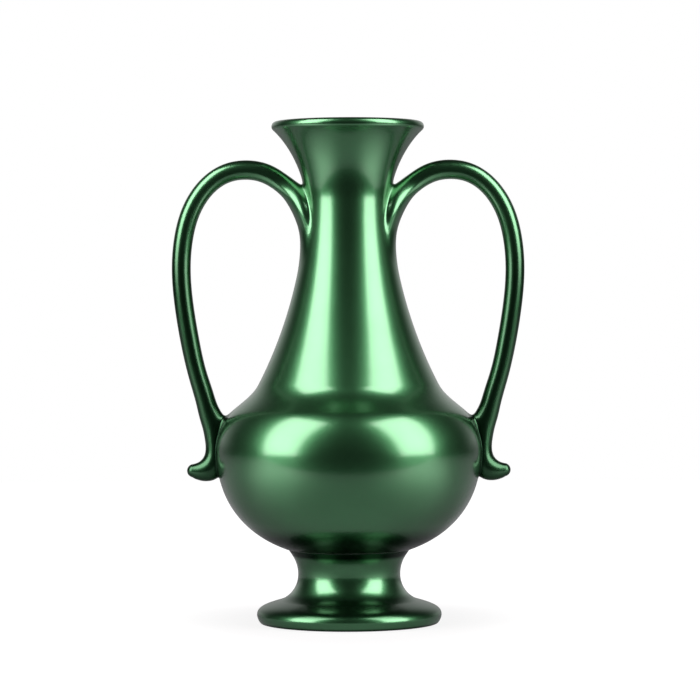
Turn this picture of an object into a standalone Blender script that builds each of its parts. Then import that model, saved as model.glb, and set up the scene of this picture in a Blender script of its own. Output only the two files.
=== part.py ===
"""Two-handled amphora vase in green metal, as the pieces that it is put together from.

Metres, +Z up, origin on the surface that the vase stands on, under its axis. The handles lie along X.
A spun neck laps into a spun bowl at the shoulder. The bowl sits on a cast pedestal, and one long bolt
clamps a sealed floor disc, the bowl, the pedestal and the steel base plate together. Each cast handle
is held by a screw through the neck and another through the bowl, both put in from the inside.
"""

import math

import bmesh
import bpy

# Heights, stacked from the surface up
FELT_THICK = 0.0015
FOOT_LIFT = 0.0004
PEDESTAL_HEIGHT = 0.0506
BOWL_HEIGHT = 0.0990
NECK_HEIGHT = 0.2000

# Outer radii, from the foot up
FOOT_RADIUS = 0.0645
FOOT_CONTACT_RADIUS = 0.0616
FOOT_CREST_RADIUS = 0.0486
STEM_RADIUS = 0.0357
COLLAR_RADIUS = 0.0420
BELLY_RADIUS = 0.0924
SEAM_RADIUS = 0.0795
COVE_RADIUS = 0.0627
WAIST_RADIUS = 0.0298
RIM_RADIUS = 0.0532
BEAD_RADIUS = 0.0034

# Where those radii lie, above the foot's underside, above the bowl's seat, above the seam or below the top
FOOT_EDGE_RISE = 0.0058
FOOT_CREST_RISE = 0.0157
STEM_RISE = 0.0339
BELLY_RISE = 0.0690
COVE_RISE = 0.0172
WAIST_DROP = 0.0553

# Directions of the outline, in degrees: 0 runs outwards and 90 straight up
FOOT_CREST_ANGLE = 163.4
COLLAR_ANGLE = 56.2
BOWL_FLOOR_ANGLE = 18.5
SEAM_ANGLE = 140.3
COVE_ANGLE = 117.2
LIP_ANGLE = 42.0

# Walls and clearances
WALL = 0.0012
GAP = 0.0003
PEDESTAL_WALL = 0.0025
LAP = 0.0055
JOGGLE_START = 0.0015
JOGGLE_END = 0.0045
CURL_END_ANGLE = 248.0

# The bowl's floor and the pedestal's top
FLOOR_HOLE_RADIUS = 0.0260
SPIGOT_RISE = 0.0009
WEB_THICK = 0.0030
GASKET_WIDTH = 0.0060
GASKET_THICK = 0.0015
FLOOR_DISC_MARGIN = 0.0015
FLOOR_DISC_THICK = 0.0015

# The base plate, in a rebate under the foot
REBATE_RADIUS = 0.0563
LEDGE_WIDTH = 0.0030
PLATE_THICK = 0.0020
DIMPLE_RADIUS = 0.0120
DIMPLE_SPREAD = 0.0040

# The long bolt, its nut and its washers
BOLT_RADIUS = 0.0030
BOLT_HEAD_FLATS = 0.0100
BOLT_HEAD_THICK = 0.0040
NUT_THICK = 0.0050
BOLT_WASHER_RADIUS = 0.0065
BOLT_WASHER_THICK = 0.0016
BOLT_SEAL_RADIUS = 0.0080
BOLT_SEAL_THICK = 0.0015

# The handles
HANDLE_RADIUS = 0.0066
HANDLE_REACH = 0.0307
ARCH_OUT = 0.0414
ARCH_DROP = 0.0265
BEND_DROP = 0.1030
NECK_JOINT_DROP = 0.0562
STRAP_THICK = 0.0077
TOE_REACH = 0.0205
TOE_DROP = 0.0113
HEEL_DEPTH = 0.0068
TOE_RADIUS = 0.0039

# The handle screws and their washers
SCREW_RADIUS = 0.0015
SCREW_HEAD_RADIUS = 0.0029
SCREW_HEAD_THICK = 0.0017
SCREW_SOCKET_FLATS = 0.0020
SCREW_SOCKET_DEPTH = 0.0010
SCREW_BITE = 0.0080
SCREW_WASHER_RADIUS = 0.0038
SCREW_WASHER_THICK = 0.0010
NECK_SCREW_DROP = 0.0530
BOWL_SCREW_DROP = 0.0095

# Facets
SEGMENTS = 48
SMALL_SEGMENTS = 16
HANDLE_SIDES = 12
HANDLE_STEPS = 2
SHARP_ANGLE = math.radians(35)

# Levels that follow from the sizes above
SEAT_Z = FOOT_LIFT + PEDESTAL_HEIGHT
SEAM_Z = SEAT_Z + BOWL_HEIGHT
TOP_Z = SEAM_Z + NECK_HEIGHT
BELLY_Z = SEAT_Z + BELLY_RISE
WAIST_Z = TOP_Z - WAIST_DROP
BOWL_UNDER_Z = SEAT_Z + GAP
PLATE_UNDER_Z = FELT_THICK + GAP
LEDGE_Z = PLATE_UNDER_Z + PLATE_THICK + GAP

GREEN = (0.055, 0.165, 0.080, 1.0)
STEEL = (0.55, 0.56, 0.57, 1.0)
RUBBER = (0.020, 0.020, 0.022, 1.0)
FELT = (0.030, 0.055, 0.038, 1.0)


def clear_scene():
    for old in list(bpy.data.objects):
        bpy.data.objects.remove(old)


def material(name, colour, roughness, metallic):
    made = bpy.data.materials.new(name)
    made.use_nodes = True
    shader = made.node_tree.nodes["Principled BSDF"]
    shader.inputs["Base Color"].default_value = colour
    shader.inputs["Roughness"].default_value = roughness
    shader.inputs["Metallic"].default_value = metallic
    return made


# Outlines are lists of (radius, height)


def polar(centre, angle, distance):
    turn = math.radians(angle)
    return (centre[0] + distance * math.cos(turn), centre[1] + distance * math.sin(turn))


def curve(start, start_angle, end, end_angle, start_pull, end_pull, steps):
    """One smooth curve that leaves start and reaches end in the given directions. A pull is a share of the chord."""
    chord = math.dist(start, end)
    lead = polar(start, start_angle, start_pull * chord)
    trail = polar(end, end_angle + 180.0, end_pull * chord)
    points = []
    for step in range(steps + 1):
        t = step / steps
        shares = ((1 - t) ** 3, 3 * t * (1 - t) ** 2, 3 * t * t * (1 - t), t**3)
        knots = (start, lead, trail, end)
        points.append(tuple(sum(s * k[i] for s, k in zip(shares, knots)) for i in (0, 1)))
    return points


def chain(*stretches):
    """The stretches end to end, with the shared points once."""
    points = list(stretches[0])
    for stretch in stretches[1:]:
        points += stretch[1:]
    return points


def inwards(points, depth):
    """The outline moved by depth to its left, which is towards the inside where it runs upwards."""
    moved = []
    for i, (radius, height) in enumerate(points):
        before = points[max(i - 1, 0)]
        after = points[min(i + 1, len(points) - 1)]
        length = math.dist(before, after)
        along = ((after[0] - before[0]) / length, (after[1] - before[1]) / length)
        moved.append((radius - depth * along[1], height + depth * along[0]))
    return moved


def stretch(points, start, end):
    """The part of an outline between two lengths along it."""
    part = []
    run = 0.0
    for a, b in zip(points, points[1:]):
        length = math.dist(a, b)
        for wanted in (start, end):
            if run <= wanted < run + length:
                share = (wanted - run) / length
                part.append((a[0] + share * (b[0] - a[0]), a[1] + share * (b[1] - a[1])))
            if wanted == start and start < run + length < end:
                part.append(b)
        run += length
    return part


def length_of(points):
    return sum(math.dist(a, b) for a, b in zip(points, points[1:]))


def radius_at(points, height):
    """The outline's radius at a height, where it runs upwards."""
    for a, b in zip(points, points[1:]):
        if a[1] <= height <= b[1]:
            return a[0] + (b[0] - a[0]) * (height - a[1]) / (b[1] - a[1])
    return points[-1][0]


# Outer outlines, each running upwards


def pedestal_outline():
    contact = (FOOT_CONTACT_RADIUS, FOOT_LIFT)
    edge = (FOOT_RADIUS, FOOT_LIFT + FOOT_EDGE_RISE)
    crest = (FOOT_CREST_RADIUS, FOOT_LIFT + FOOT_CREST_RISE)
    stem = (STEM_RADIUS, FOOT_LIFT + STEM_RISE)
    collar = (COLLAR_RADIUS, SEAT_Z)
    return chain(
        curve(contact, 0, edge, 90, 0.15, 0.34, 3),
        curve(edge, 90, crest, FOOT_CREST_ANGLE, 0.28, 0.57, 4),
        curve(crest, FOOT_CREST_ANGLE, stem, 90, 0.27, 0.45, 4),
        curve(stem, 90, collar, COLLAR_ANGLE, 0.48, 0.23, 3),
    )


def bowl_outline():
    floor = (COLLAR_RADIUS, BOWL_UNDER_Z)
    belly = (BELLY_RADIUS, BELLY_Z)
    seam = (SEAM_RADIUS, SEAM_Z)
    return chain(
        curve(floor, BOWL_FLOOR_ANGLE, belly, 90, 0.355, 0.43, 8),
        curve(belly, 90, seam, SEAM_ANGLE, 0.39, 0.27, 5),
    )


def bead_centre():
    return (RIM_RADIUS - BEAD_RADIUS, TOP_Z - BEAD_RADIUS)


def curl(radius):
    """The lip's roll, from where it leaves the flare, over the top and down the inside."""
    turns = [LIP_ANGLE - 90.0, 0, 45, 90, 135, 180, 225, CURL_END_ANGLE]
    return [polar(bead_centre(), turn, radius) for turn in turns]


def neck_outline():
    seam = (SEAM_RADIUS, SEAM_Z)
    cove = (COVE_RADIUS, SEAM_Z + COVE_RISE)
    waist = (WAIST_RADIUS, WAIST_Z)
    lip = polar(bead_centre(), LIP_ANGLE - 90.0, BEAD_RADIUS)
    return chain(
        curve(seam, SEAM_ANGLE, cove, COVE_ANGLE, 0.40, 0.33, 3),
        curve(cove, COVE_ANGLE, waist, 90, 0.41, 0.235, 7),
        curve(waist, 90, lip, LIP_ANGLE, 0.33, 0.28, 6),
    )


def shell_outline():
    """The bowl and the neck as one outer surface, which the handles are fitted to."""
    return chain(bowl_outline(), neck_outline())


# Solids


def finish_object(name, bm, finish):
    bmesh.ops.remove_doubles(bm, verts=bm.verts, dist=1e-7)
    bmesh.ops.recalc_face_normals(bm, faces=bm.faces)
    mesh = bpy.data.meshes.new(name)
    bm.to_mesh(mesh)
    bm.free()
    mesh.materials.append(finish)
    mesh.shade_smooth()
    mesh.set_sharp_from_angle(angle=SHARP_ANGLE)
    made = bpy.data.objects.new(name, mesh)
    bpy.context.scene.collection.objects.link(made)
    return made


def turned(name, outline, finish, segments=SEGMENTS):
    """A closed outline turned about Z."""
    bm = bmesh.new()
    verts = [bm.verts.new((radius, 0.0, height)) for radius, height in outline]
    edges = [bm.edges.new((verts[i - 1], verts[i])) for i in range(len(verts))]
    bmesh.ops.spin(
        bm, geom=edges, cent=(0, 0, 0), axis=(0, 0, 1), angle=math.tau, steps=segments, use_merge=True
    )
    return finish_object(name, bm, finish)


def ring(name, inner, outer, bottom, top, finish, segments=SEGMENTS):
    """A flat ring about Z."""
    outline = [(inner, bottom), (outer, bottom), (outer, top), (inner, top)]
    return turned(name, outline, finish, segments)


def round_bar(name, radius, bottom, top, finish, sides):
    """A cylinder or prism about Z, with flats where it has six sides."""
    bm = bmesh.new()
    bmesh.ops.create_cone(
        bm, cap_ends=True, segments=sides, radius1=radius, radius2=radius, depth=top - bottom
    )
    bmesh.ops.translate(bm, verts=bm.verts, vec=(0, 0, (top + bottom) / 2))
    return finish_object(name, bm, finish)


def lay_along_x(made, angle, height):
    """Turns a piece that was made along +Z to point outwards along X, at this height and turn about Z."""
    made.rotation_euler = (0, math.radians(90), angle)
    made.location.z = height


def helper(made):
    made.hide_render = True
    made.display_type = "WIRE"
    return made


def boolean(target, other, operation):
    step = target.modifiers.new(f"{operation.lower()}_{other.name}", "BOOLEAN")
    step.operation = operation
    step.solver = "EXACT"
    step.object = helper(other)


# The spun shells


def make_neck_shell(finish):
    outer = neck_outline()
    upper = stretch(outer, GAP, length_of(outer))
    upper.append(outer[-1])
    bowl = bowl_outline()
    bowl_length = length_of(bowl)
    silhouette = shell_outline()
    skirt = stretch(silhouette, bowl_length - LAP, bowl_length + GAP)
    joggle = stretch(silhouette, bowl_length - LAP, bowl_length + JOGGLE_START)
    lining = stretch(outer, JOGGLE_END, length_of(outer))
    lining.append(outer[-1])
    outline = (
        upper[:-1]
        + curl(BEAD_RADIUS)
        + curl(BEAD_RADIUS - WALL)[::-1]
        + inwards(lining, WALL)[-2::-1]
        + inwards(joggle, 2 * WALL + GAP)[::-1]
        + inwards(skirt, WALL + GAP)
    )
    return turned("neck_shell", outline, finish)


def make_rim_wire(finish):
    radius = 0.91 * (BEAD_RADIUS - WALL) - GAP
    return turned("rim_wire", [polar(bead_centre(), 60.0 * i, radius) for i in range(6)], finish)


def make_bowl_shell(finish):
    outer = bowl_outline()
    inner = [p for p in inwards(outer, WALL) if p[1] > BOWL_UNDER_Z + WALL]
    floor = [
        (COLLAR_RADIUS - WALL, BOWL_UNDER_Z + WALL),
        (FLOOR_HOLE_RADIUS, BOWL_UNDER_Z + WALL),
        (FLOOR_HOLE_RADIUS, BOWL_UNDER_Z),
    ]
    return turned("bowl_shell", outer + inner[::-1] + floor, finish)


# The pedestal and what is clamped to it


def make_pedestal(finish):
    outer = pedestal_outline()
    web_z = SEAT_Z - WEB_THICK
    ledge_radius = REBATE_RADIUS - LEDGE_WIDTH
    lining = [p for p in inwards(outer, PEDESTAL_WALL) if p[0] < ledge_radius and p[1] < web_z]
    lining = [p for p in lining if p[1] > LEDGE_Z + PEDESTAL_WALL]
    bore = BOLT_RADIUS + GAP
    spigot = FLOOR_HOLE_RADIUS - GAP
    outline = outer + [
        (spigot, SEAT_Z),
        (spigot, SEAT_Z + SPIGOT_RISE),
        (bore, SEAT_Z + SPIGOT_RISE),
        (bore, web_z),
        (lining[-1][0], web_z),
    ]
    outline += lining[::-1]
    outline += [
        (ledge_radius, lining[0][1]),
        (ledge_radius, LEDGE_Z),
        (REBATE_RADIUS, LEDGE_Z),
        (REBATE_RADIUS, FOOT_LIFT),
    ]
    return turned("pedestal", outline, finish)


def make_base_plate(finish):
    top_z = PLATE_UNDER_Z + PLATE_THICK
    dimple_z = PLATE_UNDER_Z + NUT_THICK + BOLT_WASHER_THICK + 2 * GAP
    wide = DIMPLE_RADIUS + DIMPLE_SPREAD
    bore = BOLT_RADIUS + GAP
    edge = REBATE_RADIUS - GAP
    outline = [
        (bore, dimple_z),
        (DIMPLE_RADIUS, dimple_z),
        (wide, PLATE_UNDER_Z),
        (edge, PLATE_UNDER_Z),
        (edge, top_z),
        (wide + PLATE_THICK / 2, top_z),
        (DIMPLE_RADIUS + PLATE_THICK / 2, dimple_z + PLATE_THICK),
        (bore, dimple_z + PLATE_THICK),
    ]
    return turned("base_plate", outline, finish)


def make_felt_pad(finish):
    return round_bar("felt_pad", REBATE_RADIUS - 2 * GAP, 0.0, FELT_THICK, finish, SEGMENTS)


def make_floor_seal(steel, rubber):
    """The disc that closes the bowl's bottom hole, on its rubber gasket."""
    gasket_z = BOWL_UNDER_Z + WALL + GAP
    inner = FLOOR_HOLE_RADIUS + GAP
    outer = inner + GASKET_WIDTH
    disc_z = gasket_z + GASKET_THICK + GAP
    ring("floor_gasket", inner, outer, gasket_z, gasket_z + GASKET_THICK, rubber)
    disc_edge = outer + FLOOR_DISC_MARGIN
    ring("floor_disc", BOLT_RADIUS + GAP, disc_edge, disc_z, disc_z + FLOOR_DISC_THICK, steel)
    return disc_z + FLOOR_DISC_THICK


def make_tie_bolt(floor_top, steel, rubber):
    """The long bolt down the middle, with its seal, washer and nut."""
    bore = BOLT_RADIUS + GAP
    seal_z = floor_top + GAP
    head_z = seal_z + BOLT_SEAL_THICK + GAP
    nut_z = PLATE_UNDER_Z
    washer_z = nut_z + NUT_THICK + GAP
    corner = BOLT_HEAD_FLATS / 2 / math.cos(math.pi / 6)
    ring("tie_bolt_seal", bore, BOLT_SEAL_RADIUS, seal_z, seal_z + BOLT_SEAL_THICK, rubber, SMALL_SEGMENTS)
    bolt = round_bar("tie_bolt", BOLT_RADIUS, nut_z, head_z + BOLT_HEAD_THICK / 2, steel, SMALL_SEGMENTS)
    head = round_bar("tie_bolt_head", corner, head_z, head_z + BOLT_HEAD_THICK, steel, 6)
    boolean(bolt, head, "UNION")
    ring(
        "tie_washer", bore, BOLT_WASHER_RADIUS, washer_z, washer_z + BOLT_WASHER_THICK, steel, SMALL_SEGMENTS
    )
    nut = round_bar("tie_nut", corner, nut_z, nut_z + NUT_THICK, steel, 6)
    hole = round_bar("tie_nut_bore", bore, nut_z - NUT_THICK, nut_z + 2 * NUT_THICK, steel, SMALL_SEGMENTS)
    boolean(nut, hole, "DIFFERENCE")


# The handles


def smooth_path(stations, steps):
    """Rows of numbers between stations, on a smooth curve through them all."""
    rows = []
    last = len(stations) - 1
    for i in range(last):
        before = stations[max(i - 1, 0)]
        start = stations[i]
        end = stations[i + 1]
        after = stations[min(i + 2, last)]
        for step in range(steps):
            t = step / steps
            rows.append(
                tuple(
                    0.5
                    * (
                        2 * q
                        + (r - p) * t
                        + (2 * p - 5 * q + 4 * r - s) * t * t
                        + (3 * q - p - 3 * r + s) * t**3
                    )
                    for p, q, r, s in zip(before, start, end, after)
                )
            )
    rows.append(stations[last])
    return rows


def handle_stations():
    """(x, z, outer half thickness, inner half thickness, half width) from the neck to the tip of the toe."""
    r = HANDLE_RADIUS
    joint_x = WAIST_RADIUS
    joint_z = TOP_Z - NECK_JOINT_DROP
    arch_x = WAIST_RADIUS + ARCH_OUT
    arch_z = TOP_Z - ARCH_DROP - r
    bend_x = BELLY_RADIUS + HANDLE_REACH - r
    bend_z = TOP_Z - BEND_DROP
    strap_x = BELLY_RADIUS + STRAP_THICK - r
    toe_x = BELLY_RADIUS + TOE_REACH - TOE_RADIUS
    toe_z = BELLY_Z - TOE_DROP
    rise = arch_z - joint_z
    out = bend_x - arch_x
    fall = arch_z - bend_z
    side = bend_x - strap_x
    down = bend_z - BELLY_Z
    neck = neck_outline()
    tail = [
        (radius_at(neck, joint_z - drop * r) + stand * r - inner * r, joint_z - drop * r, r, inner * r, width * r)
        for drop, stand, inner, width in ((4.7, 0.10, 0.95, 1.30), (2.9, 0.50, 1.15, 1.60))
    ]
    neck_end = [
        (joint_x + 0.015 * ARCH_OUT, joint_z - 0.28 * rise, 1.20 * r, 1.20 * r, 1.65 * r),
        (joint_x + 0.14 * ARCH_OUT, joint_z + 0.16 * rise, 1.26 * r, 1.22 * r, 1.45 * r),
        (joint_x + 0.285 * ARCH_OUT, joint_z + 0.435 * rise, 1.08 * r, 1.08 * r, 1.12 * r),
        (joint_x + 0.395 * ARCH_OUT, joint_z + 0.60 * rise, r, 1.06 * r, r),
        (joint_x + 0.52 * ARCH_OUT, joint_z + 0.762 * rise, r, 1.10 * r, r),
        (joint_x + 0.696 * ARCH_OUT, joint_z + 0.917 * rise, r, 1.12 * r, r),
    ]
    arch = [
        (arch_x, arch_z, r, 1.10 * r, r),
        (arch_x + 0.274 * out, arch_z - 0.028 * fall, r, 1.06 * r, r),
        (arch_x + 0.535 * out, arch_z - 0.128 * fall, r, r, r),
        (arch_x + 0.719 * out, arch_z - 0.262 * fall, r, r, r),
        (arch_x + 0.865 * out, arch_z - 0.442 * fall, r, r, r),
        (arch_x + 0.950 * out, arch_z - 0.640 * fall, r, r, r),
    ]
    fall_away = [
        (bend_x, bend_z, r, r, r),
        (bend_x - 0.085 * side, bend_z - 0.20 * down, r, r, r),
        (bend_x - 0.265 * side, bend_z - 0.40 * down, r, r, r),
        (bend_x - 0.515 * side, bend_z - 0.595 * down, r, r, r),
        (bend_x - 0.690 * side, bend_z - 0.705 * down, r, 1.10 * r, r),
        (bend_x - 0.762 * side, bend_z - 0.760 * down, r, 1.20 * r, r),
        (bend_x - 0.838 * side, bend_z - 0.820 * down, r, 1.95 * r, r),
    ]
    strap = [
        (bend_x - 0.878 * side, bend_z - 0.852 * down, r, 1.80 * r, 1.03 * r),
        (bend_x - 0.945 * side, bend_z - 0.900 * down, r, 1.30 * r, 1.06 * r),
        (strap_x, BELLY_Z + 0.50 * r, r, r, 1.10 * r),
        (strap_x + 0.22 * r, toe_z + 0.66 * r, 1.10 * r, 1.20 * HEEL_DEPTH, 1.10 * r),
        (strap_x + 0.58 * r, toe_z - 0.02 * r, 1.16 * r, 1.48 * HEEL_DEPTH, 1.08 * r),
        (strap_x + 1.08 * r, toe_z - 0.35 * r, 1.18 * r, 1.12 * HEEL_DEPTH, 1.04 * r),
    ]
    toe = [
        (toe_x - 0.44 * r, toe_z - 0.38 * r, 0.98 * r, 0.82 * HEEL_DEPTH, 0.90 * r),
        (toe_x + 0.15 * r, toe_z - 0.25 * r, TOE_RADIUS, TOE_RADIUS, 0.66 * r),
        (toe_x + 0.50 * r, toe_z - 0.19 * r, 0.52 * TOE_RADIUS, 0.52 * TOE_RADIUS, 0.36 * r),
    ]
    return tail + neck_end + arch + fall_away + strap + toe


def handle_rings():
    """The handle's cross-sections, as rings of points, before it is fitted to the shells."""
    rows = smooth_path(handle_stations(), HANDLE_STEPS)
    rings = []
    for i, (x, z, outer, inner, width) in enumerate(rows):
        before = rows[max(i - 1, 0)]
        after = rows[min(i + 1, len(rows) - 1)]
        length = math.hypot(after[0] - before[0], after[1] - before[1])
        out = (-(after[1] - before[1]) / length, (after[0] - before[0]) / length)
        points = []
        for side in range(HANDLE_SIDES):
            angle = math.tau * side / HANDLE_SIDES
            reach = (outer if math.cos(angle) > 0 else inner) * math.cos(angle)
            points.append((x + out[0] * reach, width * math.sin(angle), z + out[1] * reach))
        rings.append(points)
    return rings


def lofted(name, rings, finish):
    """A closed skin over rings of points, flat at both ends."""
    bm = bmesh.new()
    loops = [[bm.verts.new(point) for point in points] for points in rings]
    for a, b in zip(loops, loops[1:]):
        for i in range(len(a)):
            bm.faces.new((a[i - 1], a[i], b[i], b[i - 1]))
    bm.faces.new(loops[0])
    bm.faces.new(loops[-1])
    return finish_object(name, bm, finish)


def make_body_cutter(finish):
    """The outside of the bowl and neck, one clearance larger, which shapes the handles' seats."""
    outer = inwards(shell_outline(), -GAP)
    return helper(turned("body_cutter", outer + [(0.0, outer[-1][1]), (0.0, outer[0][1])], finish))


def screw_seat(shell, height):
    """How far from the axis a flat washer lies against the inside of a shell."""
    heights = (height - SCREW_WASHER_RADIUS, height, height + SCREW_WASHER_RADIUS)
    inner = min(radius_at(inwards(shell, WALL), h) for h in heights) * math.cos(math.pi / SEGMENTS)
    return math.sqrt(inner**2 - SCREW_WASHER_RADIUS**2) - GAP


def make_screw(name, washer_name, shell, angle, height, steel, rubber):
    """A socket screw from the inside of a shell into a handle, with its washer. Returns where its tip lies."""
    seat = screw_seat(shell, height)
    head = seat - SCREW_WASHER_THICK - GAP
    tip = radius_at(shell, height) + GAP + SCREW_BITE
    washer = ring(
        washer_name,
        SCREW_RADIUS + GAP,
        SCREW_WASHER_RADIUS,
        seat - SCREW_WASHER_THICK,
        seat,
        rubber,
        SMALL_SEGMENTS,
    )
    crown = SCREW_HEAD_THICK / 2
    outline = [
        (0.0, head - SCREW_HEAD_THICK),
        (SCREW_HEAD_RADIUS - crown, head - SCREW_HEAD_THICK),
        (SCREW_HEAD_RADIUS, head - crown),
        (SCREW_HEAD_RADIUS, head),
        (SCREW_RADIUS, head),
        (SCREW_RADIUS, tip),
        (0.0, tip),
    ]
    screw = turned(name, outline, steel, SMALL_SEGMENTS)
    bottom = head - SCREW_HEAD_THICK
    corner = SCREW_SOCKET_FLATS / 2 / math.cos(math.pi / 6)
    socket_bottom = bottom - SCREW_SOCKET_DEPTH
    socket = round_bar(f"{name}_socket", corner, socket_bottom, bottom + SCREW_SOCKET_DEPTH, steel, 6)
    boolean(screw, socket, "DIFFERENCE")
    for piece in (washer, screw, socket):
        lay_along_x(piece, angle, height)
    return tip


def drill(targets, name, start, end, angle, height, finish):
    hole = round_bar(name, SCREW_RADIUS + GAP, start, end, finish, SMALL_SEGMENTS)
    lay_along_x(hole, angle, height)
    for target in targets:
        boolean(target, hole, "DIFFERENCE")


def make_handle(side, angle, neck, bowl, cutter, finish, steel, rubber):
    handle = lofted(f"handle_{side}", handle_rings(), finish)
    handle.rotation_euler.z = angle
    boolean(handle, cutter, "DIFFERENCE")
    for place, shell, outline, height in (
        ("neck", neck, neck_outline(), TOP_Z - NECK_SCREW_DROP),
        ("bowl", bowl, bowl_outline(), BELLY_Z - BOWL_SCREW_DROP),
    ):
        tip = make_screw(f"{place}_screw_{side}", f"{place}_washer_{side}", outline, angle, height, steel, rubber)
        start = radius_at(outline, height) / 2
        drill((shell, handle), f"{place}_bore_{side}", start, tip + GAP, angle, height, finish)


def main():
    clear_scene()
    green = material("green_metal", GREEN, 0.22, 1.0)
    steel = material("steel", STEEL, 0.30, 1.0)
    rubber = material("rubber", RUBBER, 0.60, 0.0)
    felt = material("felt", FELT, 0.95, 0.0)
    neck = make_neck_shell(green)
    make_rim_wire(steel)
    bowl = make_bowl_shell(green)
    make_pedestal(green)
    make_base_plate(steel)
    make_felt_pad(felt)
    floor_top = make_floor_seal(steel, rubber)
    make_tie_bolt(floor_top, steel, rubber)
    cutter = make_body_cutter(green)
    for side, angle in (("right", 0.0), ("left", math.pi)):
        make_handle(side, angle, neck, bowl, cutter, green, steel, rubber)


main()
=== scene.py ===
"""Looks of the two-handled amphora vase: spun and cast aluminium under a gloss green lacquer.

Metres, +Z up, the vase's axis on Z and its handles along X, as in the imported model.
"""

import math

import bmesh
import bpy
import numpy as np
from mathutils import Matrix, Vector
from mathutils.bvhtree import BVHTree


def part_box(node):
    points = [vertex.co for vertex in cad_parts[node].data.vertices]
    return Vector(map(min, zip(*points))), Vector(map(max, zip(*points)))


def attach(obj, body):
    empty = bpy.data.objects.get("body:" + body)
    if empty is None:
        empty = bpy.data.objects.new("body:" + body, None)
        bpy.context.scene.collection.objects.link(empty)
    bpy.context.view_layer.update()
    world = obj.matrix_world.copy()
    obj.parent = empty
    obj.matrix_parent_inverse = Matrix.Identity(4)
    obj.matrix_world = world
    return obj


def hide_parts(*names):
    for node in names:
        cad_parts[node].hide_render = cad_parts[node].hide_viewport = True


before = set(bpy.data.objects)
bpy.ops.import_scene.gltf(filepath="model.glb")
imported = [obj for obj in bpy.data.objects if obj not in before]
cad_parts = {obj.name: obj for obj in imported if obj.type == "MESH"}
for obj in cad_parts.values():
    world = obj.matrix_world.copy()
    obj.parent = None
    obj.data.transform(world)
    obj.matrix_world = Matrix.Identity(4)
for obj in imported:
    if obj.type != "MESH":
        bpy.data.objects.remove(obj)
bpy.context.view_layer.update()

# Sizes of the body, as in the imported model
FELT_THICK = 0.0015
FOOT_LIFT = 0.0004
FOOT_EDGE_RISE = 0.0058
FOOT_CREST_RISE = 0.0157
STEM_RISE = 0.0339
SEAT_Z = 0.0510
SEAM_Z = 0.1500
TOP_Z = 0.3500
BELLY_Z = 0.1200
COVE_RISE = 0.0172
WAIST_Z = 0.2947
FOOT_CONTACT_RADIUS = 0.0616
FOOT_RADIUS = 0.0645
FOOT_CREST_RADIUS = 0.0486
STEM_RADIUS = 0.0357
COLLAR_RADIUS = 0.0420
BELLY_RADIUS = 0.0924
SEAM_RADIUS = 0.0795
COVE_RADIUS = 0.0627
WAIST_RADIUS = 0.0298
RIM_RADIUS = 0.0532
BEAD_RADIUS = 0.0034
WALL = 0.0012
GAP = 0.0003
LAP = 0.0055
JOGGLE_START = 0.0045
FLOOR_HOLE_RADIUS = 0.0260
SPIGOT_RISE = 0.0009
PEDESTAL_WALL = 0.0025
WEB_THICK = 0.0030
PLATE_THICK = 0.0020
REBATE_RADIUS = 0.0563
LEDGE_RADIUS = 0.0533
LEDGE_FILLET = 0.0025

# Directions of the outline, in degrees: 0 runs outwards and 90 straight up
FOOT_CREST_ANGLE = 163.4
COLLAR_ANGLE = 56.2
BOWL_FLOOR_ANGLE = 18.5
SEAM_ANGLE = 140.3
COVE_ANGLE = 117.2
LIP_ANGLE = 42.0
CURL_END_ANGLE = 248.0

# The handles' path and section
HANDLE_RADIUS = 0.0066
ARCH_X = 0.0712
ARCH_Z = 0.3169
BEND_X = 0.1165
BEND_Z = 0.2470
NECK_JOINT_Z = 0.2938
STRAP_X = 0.0935
BOOT_TOP_Z = 0.1340
TOE_TAPER = 16.0
TOE_STEPS = 16
TOE_ROUNDING = 2
TOE_BOX = (0.1055, 0.1135)

# Points down the instep of the boot, which is the handle's foot: x, z, the lean of its normal in degrees, the
# depths to the bar's path and to the heel or sole, and the half width
BOOT_OUTLINE = (
    (0.1023, 0.1378, -10.0, 0.0060, 0.0156, 0.0069),
    (0.1009, 0.1310, -8.0, 0.0052, 0.0136, 0.0072),
    (0.1001, 0.1250, -3.0, 0.0044, 0.0126, 0.0074),
    (0.1002, 0.1200, 8.0, 0.0036, 0.0132, 0.0074),
    (0.1013, 0.1164, 27.0, 0.0030, 0.0156, 0.0074),
    (0.1033, 0.1139, 50.0, 0.0030, 0.0170, 0.0073),
    (0.1060, 0.1122, 66.0, 0.0034, 0.0147, 0.0066),
    (0.1083, 0.1115, 80.0, 0.0037, 0.0114, 0.0055),
    (0.1098, 0.1112, 88.0, 0.0036, 0.0091, 0.0048),
)

# How finely the handles are made, and over what lengths their rows are averaged
HANDLE_SIDES = 128
ROW_SPACING = 0.0007
HANDLE_EASE = 0.0040
BOOT_EASE = 0.0012
ROUGH_VOXEL = 0.0010
HANDLE_VOXEL = 0.00063

# The fillets of the handles' joints, and how far their edges sink into the wall
NECK_FILLET = 0.0045
NOTCH_FILLET = 0.0054
NOTCH_Z = 0.3030
NECK_FADE = 0.0065
BOOT_FILLET = 0.0030
CROTCH_FILLET = 0.0118
CROTCH_Z = 0.1440
HANDLE_MIDDLE_Z = 0.2000
SEAT_SINK = 0.000004

# How the fillets are settled: fuller ones first, so that no narrow gap is left between the handle and the wall
FULLER_FILLETS = (1.5, 1.25, 1.08, 1.0)
SETTLE_ROUNDS = 24
SETTLE_STEP = 0.0008
SETTLED = 5e-7

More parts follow.
